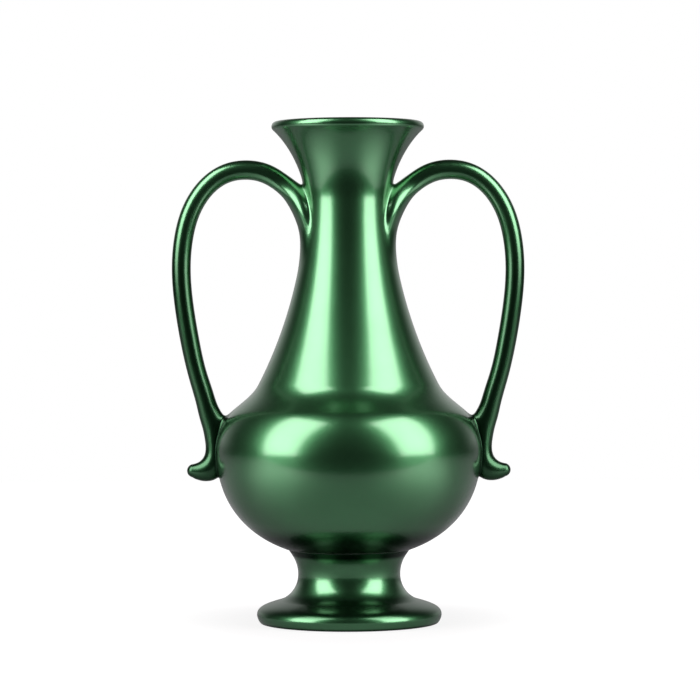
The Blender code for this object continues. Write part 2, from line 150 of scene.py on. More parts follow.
# The fastenings
BOLT_RADIUS = 0.0030
BOLT_HEAD_FLATS = 0.0100
BOLT_HEAD_THICK = 0.0040
BOLT_POINT = (0.0004, 0.0006)
HEAD_CHAMFER = 0.00035
SCREW_RADIUS = 0.0015
SCREW_POINT = 0.0004
SCREW_HEAD_RADIUS = 0.0029
SCREW_HEAD_THICK = 0.0017
SCREW_RIM_THICK = 0.0003
SCREW_SOCKET_FLATS = 0.0020
SCREW_SOCKET_DEPTH = 0.0010

# Facets round a full turn
TURN_STEPS = 232
BOWL_STEPS = 360


# Outlines, as lists of (radius, height)


def polar(centre, angle, distance):
    turn = math.radians(angle)
    return (centre[0] + distance * math.cos(turn), centre[1] + distance * math.sin(turn))


def sweep_curve(start, start_angle, end, end_angle, start_pull, end_pull, steps):
    """A smooth curve that leaves start and reaches end in the given directions, with a short first and last step."""
    chord = math.dist(start, end)
    knots = (
        start,
        polar(start, start_angle, start_pull * chord),
        polar(end, end_angle + 180.0, end_pull * chord),
        end,
    )
    points = []
    for t in [0.0, 0.004] + [i / steps for i in range(1, steps)] + [0.996, 1.0]:
        shares = ((1 - t) ** 3, 3 * t * (1 - t) ** 2, 3 * t * t * (1 - t), t**3)
        points.append(tuple(sum(s * k[i] for s, k in zip(shares, knots)) for i in (0, 1)))
    return points


def chain(*stretches):
    points = list(stretches[0])
    for stretch in stretches[1:]:
        points += stretch[1:]
    return points


def inwards(points, depth):
    """The outline moved by depth to its left, which is towards the inside where it runs upwards."""
    moved = []
    for i, (radius, height) in enumerate(points):
        before = points[max(i - 1, 0)]
        after = points[min(i + 1, len(points) - 1)]
        length = math.dist(before, after)
        along = ((after[0] - before[0]) / length, (after[1] - before[1]) / length)
        moved.append((radius - depth * along[1], height + depth * along[0]))
    return moved


def past(points, distance):
    """The part of an outline beyond a distance along it."""
    run = 0.0
    for i, (a, b) in enumerate(zip(points, points[1:])):
        length = math.dist(a, b)
        if run + length > distance:
            share = (distance - run) / length
            return [(a[0] + share * (b[0] - a[0]), a[1] + share * (b[1] - a[1]))] + points[i + 1 :]
        run += length
    return points[-1:]


def radius_at(points, height):
    for a, b in zip(points, points[1:]):
        if a[1] <= height <= b[1]:
            return a[0] + (b[0] - a[0]) * (height - a[1]) / max(b[1] - a[1], 1e-9)
    return points[-1][0]


def pedestal_outline():
    edge = (FOOT_RADIUS, FOOT_LIFT + FOOT_EDGE_RISE)
    crest = (FOOT_CREST_RADIUS, FOOT_LIFT + FOOT_CREST_RISE)
    stem = (STEM_RADIUS, FOOT_LIFT + STEM_RISE)
    return chain(
        sweep_curve((FOOT_CONTACT_RADIUS, FOOT_LIFT), 0, edge, 90, 0.15, 0.34, 10),
        sweep_curve(edge, 90, crest, FOOT_CREST_ANGLE, 0.28, 0.57, 18),
        sweep_curve(crest, FOOT_CREST_ANGLE, stem, 90, 0.27, 0.45, 18),
        sweep_curve(stem, 90, (COLLAR_RADIUS, SEAT_Z), COLLAR_ANGLE, 0.48, 0.23, 12),
    )


def bowl_outline():
    belly = (BELLY_RADIUS, BELLY_Z)
    return chain(
        sweep_curve((COLLAR_RADIUS, SEAT_Z + GAP), BOWL_FLOOR_ANGLE, belly, 90, 0.355, 0.43, 48),
        sweep_curve(belly, 90, (SEAM_RADIUS, SEAM_Z), SEAM_ANGLE, 0.39, 0.27, 28),
    )


def bead_centre():
    return (RIM_RADIUS - BEAD_RADIUS, TOP_Z - BEAD_RADIUS)


def neck_outline():
    cove = (COVE_RADIUS, SEAM_Z + COVE_RISE)
    waist = (WAIST_RADIUS, WAIST_Z)
    lip = polar(bead_centre(), LIP_ANGLE - 90.0, BEAD_RADIUS)
    return chain(
        sweep_curve((SEAM_RADIUS, SEAM_Z), SEAM_ANGLE, cove, COVE_ANGLE, 0.40, 0.33, 14),
        sweep_curve(cove, COVE_ANGLE, waist, 90, 0.41, 0.235, 70),
        sweep_curve(waist, 90, lip, LIP_ANGLE, 0.33, 0.28, 40),
    )


# The ways in which pieces are made


def finished(name, bm, *finishes, sharp=35.0):
    """Turns a bmesh into a piece of the vase with smooth faces and crisp edges."""
    bmesh.ops.remove_doubles(bm, verts=bm.verts, dist=2e-7)
    bmesh.ops.recalc_face_normals(bm, faces=bm.faces)
    mesh = bpy.data.meshes.new(name)
    bm.to_mesh(mesh)
    bm.free()
    for finish in finishes:
        mesh.materials.append(finish)
    mesh.shade_smooth()
    mesh.set_sharp_from_angle(angle=math.radians(sharp))
    piece = bpy.data.objects.new(name, mesh)
    bpy.context.scene.collection.objects.link(piece)
    return piece


def spun(bm, outline, steps=TURN_STEPS, closed=True):
    """Spins an outline about the vase's axis."""
    verts = [bm.verts.new((radius, 0.0, height)) for radius, height in outline]
    pairs = list(zip(verts, verts[1:])) + ([(verts[-1], verts[0])] if closed else [])
    edges = [bm.edges.new(pair) for pair in pairs]
    bmesh.ops.spin(bm, geom=edges, cent=(0, 0, 0), axis=(0, 0, 1), angle=math.tau, steps=steps, use_merge=True)


def spun_piece(name, outline, *finishes, steps=TURN_STEPS):
    bm = bmesh.new()
    spun(bm, outline, steps)
    return finished(name, bm, *finishes)


def rounded_ring(name, inner, outer, bottom, top, finish, bevel, steps=96, bulge=0.0):
    """A flat washer or disc with softened edges. A rubber one bulges where it is squeezed."""
    middle = (bottom + top) / 2
    bm = bmesh.new()
    spun(bm, [(inner, bottom), (outer, bottom), (outer + bulge, middle), (outer, top), (inner, top)], steps)
    bmesh.ops.remove_doubles(bm, verts=bm.verts, dist=1e-7)
    rims = [e for e in bm.edges if len(e.link_faces) == 2 and e.calc_face_angle() > math.radians(50)]
    bmesh.ops.bevel(
        bm, geom=rims, offset=bevel, segments=3, profile=0.5, affect="EDGES", material=-1, clamp_overlap=True
    )
    return finished(name, bm, finish)


def hexagon(bm, flats, bottom, top, chamfer):
    """A nut or bolt head: six flats under a turned chamfer."""
    corner = flats / 2 / math.cos(math.pi / 6)
    made = bmesh.ops.create_cone(bm, cap_ends=True, segments=6, radius1=corner, radius2=corner, depth=top - bottom)
    bmesh.ops.translate(bm, verts=made["verts"], vec=(0, 0, (top + bottom) / 2))
    edges = list({e for v in made["verts"] for e in v.link_edges})
    bmesh.ops.bevel(
        bm, geom=edges, offset=chamfer, segments=3, profile=0.5, affect="EDGES", material=-1, clamp_overlap=True
    )


# Shader maths


class Level:
    """A number that varies over a surface. Python's operators on it add Math nodes."""

    def __init__(self, finish, socket):
        self.finish = finish
        self.socket = socket

    def join(self, operation, first, second):
        return self.finish.add("ShaderNodeMath", {"operation": operation}, {0: first, 1: second})

    def __add__(self, other):
        return self.join("ADD", self, other)

    def __radd__(self, other):
        return self.join("ADD", other, self)

    def __sub__(self, other):
        return self.join("SUBTRACT", self, other)

    def __rsub__(self, other):
        return self.join("SUBTRACT", other, self)

    def __mul__(self, other):
        return self.join("MULTIPLY", self, other)

    def __rmul__(self, other):
        return self.join("MULTIPLY", other, self)

    def __truediv__(self, other):
        return self.join("DIVIDE", self, other)


class Finish:
    """One node tree, with a single method that adds a node."""

    def __init__(self, tree):
        self.tree = tree

    def add(self, kind, settings=None, sockets=None, output=0):
        node = self.tree.nodes.new(kind)
        for setting, value in (settings or {}).items():
            setattr(node, setting, value)
        for socket, value in (sockets or {}).items():
            if isinstance(value, Level):
                self.tree.links.new(value.socket, node.inputs[socket])
            else:
                node.inputs[socket].default_value = value
        return Level(self, node.outputs[output]) if node.outputs else None

    def blend(self, share, first, second):
        """A colour between two others."""
        return self.add("ShaderNodeMix", {"data_type": "RGBA"}, {0: share, 6: first, 7: second}, output=2)

    def ease(self, value, low, high):
        """0 below low, 1 above high and smooth between."""
        return self.add(
            "ShaderNodeMapRange",
            {"interpolation_type": "SMOOTHSTEP"},
            {"Value": value, "From Min": low, "From Max": high},
        )

    def within(self, value, low, full, still_full, high):
        """1 between full and still_full, and 0 below low and above high."""
        return self.ease(value, low, full) * (1.0 - self.ease(value, still_full, high))

    def noise(self, where, scale, detail=2.0, roughness=0.5):
        return self.add(
            "ShaderNodeTexNoise", None, {"Vector": where, "Scale": scale, "Detail": detail, "Roughness": roughness}
        )

    def place(self, scale=(1.0, 1.0, 1.0)):
        """The point on the object, stretched for a pattern that runs one way."""
        here = self.add("ShaderNodeTexCoord", output=3)
        return self.add("ShaderNodeMapping", None, {"Vector": here, "Scale": scale})

    def height(self):
        return self.add("ShaderNodeSeparateXYZ", None, {0: self.place()}, output=2)

    def radius(self):
        flat = self.place((1.0, 1.0, 0.0))
        return self.add("ShaderNodeVectorMath", {"operation": "LENGTH"}, {0: flat}, output=1)

    def bump(self, height, strength, distance):
        return self.add("ShaderNodeBump", None, {"Strength": strength, "Distance": distance, "Height": height})

    def surface(self, sockets):
        shader = self.add("ShaderNodeBsdfPrincipled", None, sockets)
        self.add("ShaderNodeOutputMaterial", None, {"Surface": shader})


def new_finish(name):
    made = bpy.data.materials.new(name)
    made.use_nodes = True
    made.node_tree.nodes.clear()
    return made, Finish(made.node_tree)


# The green lacquer: its two close tones, and the dark green of painted shade
GREEN_DEEP = (0.062, 0.238, 0.093, 1.0)
GREEN_PALE = (0.070, 0.264, 0.105, 1.0)
GREEN_IN_PAINTED_SHADE = (0.007, 0.028, 0.012, 1.0)
LACQUER_GLOSS = {"Metallic": 1.0, "IOR": 1.5, "Coat Roughness": 0.16, "Coat IOR": 1.6}
SHELL_ROUGHNESS = 0.30
CASTING_ROUGHNESS = 0.29

# The heights of the painted shade: under the collar, on the foot's ledge and at its edge
COLLAR_PAINTED_SHADE = (0.0455, 0.0485, 0.0590, 0.0715)
LEDGE_PAINTED_SHADE = (0.0070, 0.0100, 0.0185, 0.0225)
EDGE_PAINTED_SHADE = (0.0008, 0.0026)
# The heights above which the creases have no painted shade
CREASE_TOP = (0.1320, 0.1420)
# The handles' fall, by its distance from the axis and its height, and the share of the full colour left in its
# painted shade
FALL_RADII = (0.0450, 0.0650)
FALL_TOP = (0.2350, 0.3000)
FALL_SHADE_FACTOR = 0.30


def painted_shade_factor(finish):
    """1 where the lacquer is evenly lit, and less where shade is painted into its colour and coat.

    The painted shade lies in the angle above the collar, on the foot's ledge and along its edge, and in the narrow
    creases between the boots and the belly."""
    height = finish.height()
    # Painted shade in each place: under the collar, on the foot's ledge, at its lowest edge and in the boots' creases
    under_collar = finish.within(height, *COLLAR_PAINTED_SHADE)
    on_ledge = finish.within(height, *LEDGE_PAINTED_SHADE)
    at_edge = 1.0 - finish.ease(height, *EDGE_PAINTED_SHADE)
    crease = finish.add("ShaderNodeAttribute", {"attribute_name": "crease"}, output=2)
    in_crease = finish.ease(crease, 0.05, 0.60) * (1.0 - finish.ease(height, *CREASE_TOP))
    return (1.0 - 0.98 * under_collar) * (1.0 - 0.65 * on_ledge) * (1.0 - 0.95 * at_edge) * (1.0 - 0.88 * in_crease)


def green_lacquer(name, roughness, fall_shade_factor=1.0):
    """Translucent green over polished metal, under a clear coat, with the faint unevenness of a sprayed film.

    In its angles and creases, and down the handles' long fall from the arch, shade is painted into it as darker
    colour and less coat."""
    made, finish = new_finish(name)
    film = finish.noise(finish.place(), 22.0, 3.0)
    specks = finish.noise(finish.place(), 420.0, 2.0)
    ripple = finish.noise(finish.place((1.0, 1.0, 0.6)), 150.0, 1.0)
    green = finish.blend(finish.ease(film, 0.35, 0.65), GREEN_DEEP, GREEN_PALE)
    # Painted shade down the handles' fall, and in the angles and creases, darkens the colour and thins the coat
    fall = finish.ease(finish.radius(), *FALL_RADII) * (1.0 - finish.ease(finish.height(), *FALL_TOP))
    clear = painted_shade_factor(finish) * (1.0 - (1.0 - fall_shade_factor) * fall)
    finish.surface(
        {
            "Base Color": finish.blend(clear, GREEN_IN_PAINTED_SHADE, green),
            "Roughness": roughness - 0.012 + 0.02 * film + 0.008 * specks,
            "Coat Weight": (0.94 + 0.06 * film) * (0.05 + 0.95 * clear),
            "Normal": finish.bump(ripple + 0.15 * specks, 0.05, 0.00003),
            **LACQUER_GLOSS,
        }
    )
    return made


def overspray_inside():
    """Green just inside the lip, fading through overspray to bare spun aluminium."""
    made, finish = new_finish("overspray_to_bare_aluminium")
    height = finish.height()
    mist = finish.noise(finish.place(), 95.0, 4.0, 0.6)
    drift = finish.noise(finish.place((1.0, 1.0, 0.4)), 26.0, 2.0)
    covered = finish.ease(height + 0.016 * drift + 0.006 * mist, TOP_Z - 0.048, TOP_Z - 0.014)
    rings = finish.noise(finish.place((2.0, 2.0, 900.0)), 1.0, 3.0, 0.6)
    worn = finish.noise(finish.place(), 60.0, 3.0)
    bare = finish.blend(worn, (0.42, 0.43, 0.42, 1.0), (0.60, 0.61, 0.60, 1.0))
    green = finish.blend(drift, GREEN_DEEP, GREEN_PALE)
    finish.surface(
        {
            "Base Color": finish.blend(covered, bare, green),
            "Roughness": 0.36 + 0.10 * rings - 0.16 * covered,
            "Coat Weight": 0.9 * covered,
            "Normal": finish.bump(rings * (1 - covered), 0.25, 0.00006),
            **LACQUER_GLOSS,
        }
    )
    return made


def plain_metal(name, dark, pale, roughness, grain, turned_marks):
    """Bare or plated metal with fine turning marks and a cloudy tone."""
    made, finish = new_finish(name)
    cloud = finish.noise(finish.place(), 130.0, 3.0)
    if turned_marks:
        marks = finish.add("ShaderNodeMath", {"operation": "SINE"}, {0: finish.radius() * grain})
    else:
        marks = finish.noise(finish.place((1.0, 1.0, 0.2)), grain, 2.0)
    finish.surface(
        {
            "Base Color": finish.blend(cloud, dark, pale),
            "Metallic": 1.0,
            "Roughness": roughness + 0.08 * cloud + 0.03 * marks,
            "Normal": finish.bump(marks, 0.10, 0.00002),
        }
    )
    return made


def black_rubber():
    made, finish = new_finish("black_rubber")
    cloud = finish.noise(finish.place(), 240.0, 3.0)
    grain = finish.noise(finish.place(), 2600.0, 2.0)
    finish.surface(
        {
            "Base Color": finish.blend(cloud, (0.012, 0.012, 0.013, 1.0), (0.030, 0.030, 0.031, 1.0)),
            "Roughness": 0.58 + 0.18 * cloud,
            "Normal": finish.bump(grain, 0.25, 0.00004),
        }
    )
    return made


def green_felt():
    made, finish = new_finish("green_felt")
    fibre = finish.noise(finish.place((1.0, 3.2, 1.0)), 1500.0, 4.0, 0.7)
    lint = finish.noise(finish.place((2.6, 1.0, 1.0)), 900.0, 4.0, 0.7)
    cloud = finish.noise(finish.place(), 70.0, 3.0)
    tuft = 0.5 * fibre + 0.5 * lint
    green = finish.blend(0.6 * tuft + 0.4 * cloud, (0.012, 0.030, 0.018, 1.0), (0.052, 0.092, 0.062, 1.0))
    finish.surface(
        {
            "Base Color": green,
            "Roughness": 0.92 + 0.06 * tuft,
            "Normal": finish.bump(tuft, 0.7, 0.00025),
            "Sheen Weight": 0.35,
            "Sheen Roughness": 0.5,
        }
    )
    return made


# The spun and cast body


def make_neck(green, inside):
    """The neck: outer flare, the lip rolled over its wire, the inner wall and the skirt that laps into the bowl."""
    outer = neck_outline()
    first, steps = LIP_ANGLE - 90.0, 34
    turns = [first + (CURL_END_ANGLE - first) * i / steps for i in range(1, steps + 1)]
    roll = [polar(bead_centre(), turn, BEAD_RADIUS) for turn in turns]
    under = [polar(bead_centre(), turn, BEAD_RADIUS - WALL) for turn in [first] + turns]
    bowl = bowl_outline()
    run = sum(math.dist(a, b) for a, b in zip(bowl, bowl[1:]))
    skirt = past(bowl, run - LAP)
    lining = past(outer, JOGGLE_START)
    outline = (
        outer
        + roll
        + under[::-1]
        + inwards(lining, WALL)[-2::-1]
        + inwards(skirt, 2 * WALL + GAP)[::-1]
        + inwards(skirt, WALL + GAP)
    )
    piece = spun_piece("spun_neck", outline, green, inside)
    wall = inwards(outer, WALL / 2)
    for face in piece.data.polygons:
        centre = face.center
        reach = math.hypot(centre.x, centre.y)
        if centre.z < bead_centre()[1] - 0.004 and reach < radius_at(wall, centre.z) or centre.z < SEAM_Z:
            face.material_index = 1
    return piece


def make_bowl(green, inside):
    outer = bowl_outline()
    floor_z = SEAT_Z + GAP + WALL
    inner = [p for p in inwards(outer, WALL) if p[1] > floor_z]
    floor = [(COLLAR_RADIUS - WALL, floor_z), (FLOOR_HOLE_RADIUS, floor_z), (FLOOR_HOLE_RADIUS, SEAT_Z + GAP)]
    piece = spun_piece("spun_bowl", outer + inner[::-1] + floor, green, inside, steps=BOWL_STEPS)
    wall = inwards(outer, WALL / 2)
    for face in piece.data.polygons:
        centre = face.center
        if math.hypot(centre.x, centre.y) < radius_at(wall, centre.z) - 1e-5 and centre.z > SEAT_Z + GAP + 0.0002:
            face.material_index = 1
    return piece


def make_pedestal(green):
    seat_z = SEAT_Z + 0.8 * GAP
    spigot, spigot_z = FLOOR_HOLE_RADIUS - GAP, SEAT_Z + SPIGOT_RISE
    bore, web_z = BOLT_RADIUS + GAP, SEAT_Z - WEB_THICK
    ledge_z = FELT_THICK + 2 * GAP + PLATE_THICK
    outer = pedestal_outline() + [(COLLAR_RADIUS, seat_z)]
    lining = inwards(outer, PEDESTAL_WALL)
    lining = [p for p in lining if p[0] < LEDGE_RADIUS and ledge_z + LEDGE_FILLET < p[1] < web_z]
    outline = outer + [(spigot, seat_z), (spigot, spigot_z), (bore, spigot_z), (bore, web_z), (lining[-1][0], web_z)]
    outline += lining[::-1]
    outline += [(LEDGE_RADIUS, lining[0][1]), (LEDGE_RADIUS, ledge_z)]
    outline += [(REBATE_RADIUS, ledge_z), (REBATE_RADIUS, FOOT_LIFT)]
    return spun_piece("cast_pedestal", outline, green)


# The handles


def spline_rows(stations, spacing):
    """Rows at an even spacing along a natural cubic spline through the stations."""
    table = np.array(stations)
    runs = np.concatenate(([0.0], np.cumsum(np.hypot(np.diff(table[:, 0]), np.diff(table[:, 1])))))
    gaps = np.diff(runs)
    count = len(runs)
    system = np.eye(count)
    bends = np.zeros_like(table)
    for i in range(1, count - 1):
        system[i, i - 1 : i + 2] = gaps[i - 1], 2 * (gaps[i - 1] + gaps[i]), gaps[i]
        bends[i] = 6 * ((table[i + 1] - table[i]) / gaps[i] - (table[i] - table[i - 1]) / gaps[i - 1])
    bends = np.linalg.solve(system, bends)
    rows = []
    for run in np.linspace(0.0, runs[-1], int(runs[-1] / spacing) + 1):
        i = min(int(np.searchsorted(runs, run, side="right")) - 1, count - 2)
        gap, on, off = gaps[i], run - runs[i], runs[i + 1] - run
        rows.append(
            (bends[i] * off**3 + bends[i + 1] * on**3) / (6 * gap)
            + (table[i] / gap - bends[i] * gap / 6) * off
            + (table[i + 1] / gap - bends[i + 1] * gap / 6) * on
        )
    return np.array(rows)


def eased_rows(rows, reaches):
    """Rows averaged with their neighbours, each over its own number of rows, so that no station shows as a kink."""
    last = len(rows) - 1
    eased = rows.copy()
    for i, reach in enumerate(reaches):
        reach = min(reach, i / 2.5, (last - i) / 2.5)
        if reach < 0.4:
            continue
        offsets = np.arange(-int(2.5 * reach), int(2.5 * reach) + 1)
        weights = np.exp(-0.5 * (offsets / reach) ** 2)
        eased[i] = (rows[i + offsets] * weights[:, None]).sum(axis=0) / weights.sum()
    return eased


def handle_stations():
    """(x, z, outer half thickness, inner half thickness, half width) from inside the neck to the toe."""
    r = HANDLE_RADIUS
    rise = ARCH_Z - NECK_JOINT_Z
    run = ARCH_X - WAIST_RADIUS
    out = BEND_X - ARCH_X
    fall = ARCH_Z - BEND_Z
    side = BEND_X - STRAP_X
    down = BEND_Z - BELLY_Z
    neck = neck_outline()
    tail = [
        (radius_at(neck, NECK_JOINT_Z - d * r) + stand * r - inner * r, NECK_JOINT_Z - d * r, r, inner * r, width * r)
        for d, stand, inner, width in (
            (8.2, -1.00, 0.9, 1.2),
            (6.6, -0.42, 0.9, 1.6),
            (4.8, 0.02, 0.95, 2.1),
            (2.9, 0.50, 1.15, 2.35),
        )
    ]
    neck_end = [
        (WAIST_RADIUS + 0.015 * run, NECK_JOINT_Z - 0.28 * rise, 1.20 * r, 1.20 * r, 2.40 * r),
        (WAIST_RADIUS + 0.14 * run, NECK_JOINT_Z + 0.16 * rise, 1.26 * r, 1.22 * r, 1.80 * r),
        (WAIST_RADIUS + 0.285 * run, NECK_JOINT_Z + 0.435 * rise, 1.08 * r, 1.08 * r, 1.25 * r),
        (WAIST_RADIUS + 0.395 * run, NECK_JOINT_Z + 0.60 * rise, r, 1.06 * r, r),
        (WAIST_RADIUS + 0.52 * run, NECK_JOINT_Z + 0.762 * rise, r, 1.08 * r, r),
        (WAIST_RADIUS + 0.696 * run, NECK_JOINT_Z + 0.917 * rise, r, 1.08 * r, r),
    ]
    arch = [
        (ARCH_X, ARCH_Z, r, 1.06 * r, r),
        (ARCH_X + 0.274 * out, ARCH_Z - 0.028 * fall, r, 1.03 * r, r),
        (ARCH_X + 0.535 * out, ARCH_Z - 0.128 * fall, r, r, r),
        (ARCH_X + 0.719 * out, ARCH_Z - 0.262 * fall, r, r, r),
        (ARCH_X + 0.865 * out, ARCH_Z - 0.442 * fall, r, r, r),
        (ARCH_X + 0.950 * out, ARCH_Z - 0.640 * fall, r, r, r),
    ]
    fall_away = [
        (BEND_X, BEND_Z, r, r, r),
        (BEND_X - 0.085 * side, BEND_Z - 0.20 * down, r, r, r),
        (BEND_X - 0.265 * side, BEND_Z - 0.40 * down, r, r, r),
        (BEND_X - 0.515 * side, BEND_Z - 0.595 * down, r, r, r),
        (BEND_X - 0.690 * side, BEND_Z - 0.705 * down, r, 1.08 * r, r),
        (BEND_X - 0.762 * side, BEND_Z - 0.760 * down, r, 1.15 * r, r),
        (BEND_X - 0.838 * side, BEND_Z - 0.820 * down, r, 1.45 * r, r),
    ]
    return tail + neck_end + arch + fall_away + boot_stations()


def boot_stations():
    """The foot of the handle, from its crotch down the belly and out to the toe: each row runs from the outline
    of the instep, through the metal, to the heel or the sole."""
    rows = []
    for x, z, lean, to_path, depth, width in BOOT_OUTLINE:
        turn = math.radians(lean)
        rows.append((x - to_path * math.cos(turn), z - to_path * math.sin(turn), to_path, depth - to_path, width))
    return rows


def handle_frames():
    """Each cross-section of the handle as a matrix that carries a unit circle to it."""
    rows = spline_rows(handle_stations(), ROW_SPACING)
    boot = sum(1 for row in rows if row[1] < BOOT_TOP_Z and row[0] > 0.06)
    reaches = [HANDLE_EASE / ROW_SPACING] * (len(rows) - boot)
    reaches += [max(HANDLE_EASE * (1 - i / 14), BOOT_EASE) / ROW_SPACING for i in range(boot)]
    rows = eased_rows(rows, reaches)
    frames = []
    for i, (x, z, outer, inner, width) in enumerate(rows):
        before = rows[max(i - 1, 0)]
        after = rows[min(i + 1, len(rows) - 1)]
        length = math.hypot(after[0] - before[0], after[1] - before[1])
        along = Vector((after[0] - before[0], 0.0, after[1] - before[1])) / length
        frames.append(section(Vector((x, 0.0, z)), along, outer, inner, width))
    tip = Vector((x, 0.0, z))
    out = Vector((-along.z, 0.0, along.x))
    taper = math.radians(TOE_TAPER)
    radius = (outer + inner) / 2 / math.cos(taper)
    for turn in np.linspace(taper, math.radians(88.0), TOE_STEPS + 1)[1:]:
        shrink = math.cos(turn) / math.cos(taper)
        ahead = along * (radius * (math.sin(turn) - math.sin(taper)))
        centre = tip + ahead + out * ((outer - inner) / 2 * (1 - shrink))
        frames.append(section(centre, along, outer * shrink, inner * shrink, width * shrink))
    return frames


def section(centre, along, outer, inner, width):
    out = Vector((-along.z, 0.0, along.x))
    middle = centre + out * (outer - inner) / 2
    half = out * (outer + inner) / 2
    return Matrix(
        (
            (half.x, 0.0, along.x, middle.x),
            (half.y, width, along.y, middle.y),
            (half.z, 0.0, along.z, middle.z),
            (0.0, 0.0, 0.0, 1.0),
        )
    )


def drawn_bar(bm, frames, sides):
    """Draws a circle through the cross-sections, extruding it from each to the next, and closes both ends."""
    ring = bmesh.ops.create_circle(bm, cap_ends=False, radius=1.0, segments=sides)["verts"]
    shape = [v.co.copy() for v in ring]
    for v, flat in zip(ring, shape):
        v.co = frames[0] @ flat
    bm.faces.new(ring)
    for where in frames[1:]:
        edges = [bm.edges.get((ring[i - 1], ring[i])) for i in range(sides)]
        grown = bmesh.ops.extrude_edge_only(bm, edges=edges)["geom"]
        fresh = {g for g in grown if isinstance(g, bmesh.types.BMVert)}
        ring = [next(e.other_vert(v) for e in v.link_edges if e.other_vert(v) in fresh) for v in ring]
        for v, flat in zip(ring, shape):
            v.co = where @ flat
    bm.faces.new(ring)


class BodyGauge:
    """Distances from the outside of the spun body, read from its outline at even heights."""

    step = 0.0001

    def __init__(self):
        outline = chain(bowl_outline(), neck_outline())
        radii, heights = zip(*outline)
        self.floor = heights[0]
        levels = np.arange(self.floor, heights[-1], self.step)
        found = np.interp(levels, heights, radii)
        self.radii = found.tolist()
        self.slopes = np.convolve(np.gradient(found, self.step), np.ones(15) / 15, "same").tolist()

    def read(self, point):
        """The distance of a point from the surface, and the surface's normal there."""
        place = min(max((point.z - self.floor) / self.step, 0.0), len(self.radii) - 1.001)
        i = int(place)
        share = place - i
        radius = self.radii[i] + share * (self.radii[i + 1] - self.radii[i])
        slope = self.slopes[i] + share * (self.slopes[i + 1] - self.slopes[i])
        reach = math.hypot(point.x, point.y)
        length = math.sqrt(1 + slope * slope)
        normal = Vector((point.x / reach, point.y / reach, -slope)) / length
        return (reach - radius) / length, normal


def read_solid(tree, point):
    """The distance of a point from a closed surface, less than 0 inside, and the way out."""
    near, normal, _, distance = tree.find_nearest(point)
    away = point - near
    if away.dot(normal) < 0:
        distance = -distance
    return distance, (away / distance if abs(distance) > 2e-5 else normal)


def ramp(value, low, high):
    """0 below low, 1 above high and even between."""
    return min(max((value - low) / (high - low), 0.0), 1.0)


def smooth(share):
    return share * share * (3 - 2 * share)


def fillet_width(point):
    """How far the cast fillet reaches from the joint.

    It widens up to the notch over the neck joint and down to the joint's faded tail, and up the boot to the
    crotch."""
    if point.z > HANDLE_MIDDLE_Z:
        tail = 1.0 - ramp(point.z, NECK_JOINT_Z - 0.018, NECK_JOINT_Z + 0.004)
        notch = smooth(ramp(point.z, NOTCH_Z - 0.010, NOTCH_Z))
        return NECK_FILLET + (NECK_FADE - NECK_FILLET) * tail + (NOTCH_FILLET - NECK_FILLET) * notch
    return BOOT_FILLET + (CROTCH_FILLET - BOOT_FILLET) * smooth(ramp(point.z, CROTCH_Z - 0.012, CROTCH_Z))


def settle(point, bar, body, fuller=1.0):
    """Moves a point onto the handle's surface with its fillets.

    Returns it with its distance from the bar, and how much of a fillet it lies in."""
    if body.read(point)[0] > 2.5 * fuller * fillet_width(point):
        return bar.find_nearest(point)[0], 0.0, 0.0
    for _ in range(SETTLE_ROUNDS):
        width = fillet_width(point) * fuller
        off_bar, bar_way = read_solid(bar, point)
        off_body, body_way = body.read(point)
        off_body += SEAT_SINK + 0.10 * max(0.0, off_bar - width)
        fill = max(1.0 - abs(off_bar - off_body) / width, 0.0)
        off = min(off_bar, off_body) - width * fill**3 / 6
        minor = 0.5 * fill * fill
        share = minor if off_body < off_bar else 1.0 - minor
        way = bar_way * share + body_way * (1 - share)
        step = off / max(way.length_squared, 0.08)
        point = point - way * min(max(step, -SETTLE_STEP), SETTLE_STEP)
        if abs(off) < SETTLED:
            break
    return point, off_bar, fill


def solid_of(bm, name):
    mesh = bpy.data.meshes.new(name)
    bm.to_mesh(mesh)
    bm.free()
    solid = bpy.data.objects.new(name, mesh)
    bpy.context.scene.collection.objects.link(solid)
    return solid


def with_modifier(solid, kind, **settings):
    """The solid's mesh after one modifier, with the solid itself taken away."""
    step = solid.modifiers.new("step", kind)
    for setting, value in settings.items():
        setattr(step, setting, value)
    bpy.context.view_layer.update()
    made = bpy.data.meshes.new_from_object(solid.evaluated_get(bpy.context.evaluated_depsgraph_get()))
    bpy.data.objects.remove(solid)
    return made


def body_blocks():
    """Two blocks of the body, one behind each joint of the right handle."""
    seat = chain(bowl_outline(), neck_outline())
    blocks = []
    for low, high in (((0.010, 0.234), (0.060, 0.325)), ((0.055, 0.085), (0.094, 0.170))):
        bm = bmesh.new()
        spun(bm, seat + [(0.0, seat[-1][1]), (0.0, seat[0][1])], steps=120)
        bmesh.ops.remove_doubles(bm, verts=bm.verts, dist=2e-7)
        bmesh.ops.recalc_face_normals(bm, faces=bm.faces)
        body = solid_of(bm, "body")
        bm = bmesh.new()
        bmesh.ops.create_cube(bm, size=1.0)
        size = (high[0] - low[0], 0.056, high[1] - low[1])
        middle = ((high[0] + low[0]) / 2, 0.0, (high[1] + low[1]) / 2)
        bmesh.ops.scale(bm, verts=bm.verts, vec=size)
        bmesh.ops.translate(bm, verts=bm.verts, vec=middle)
        box = solid_of(bm, "box")
        blocks.append(with_modifier(body, "BOOLEAN", operation="INTERSECT", solver="EXACT", object=box))
        bpy.data.objects.remove(box)
    return blocks


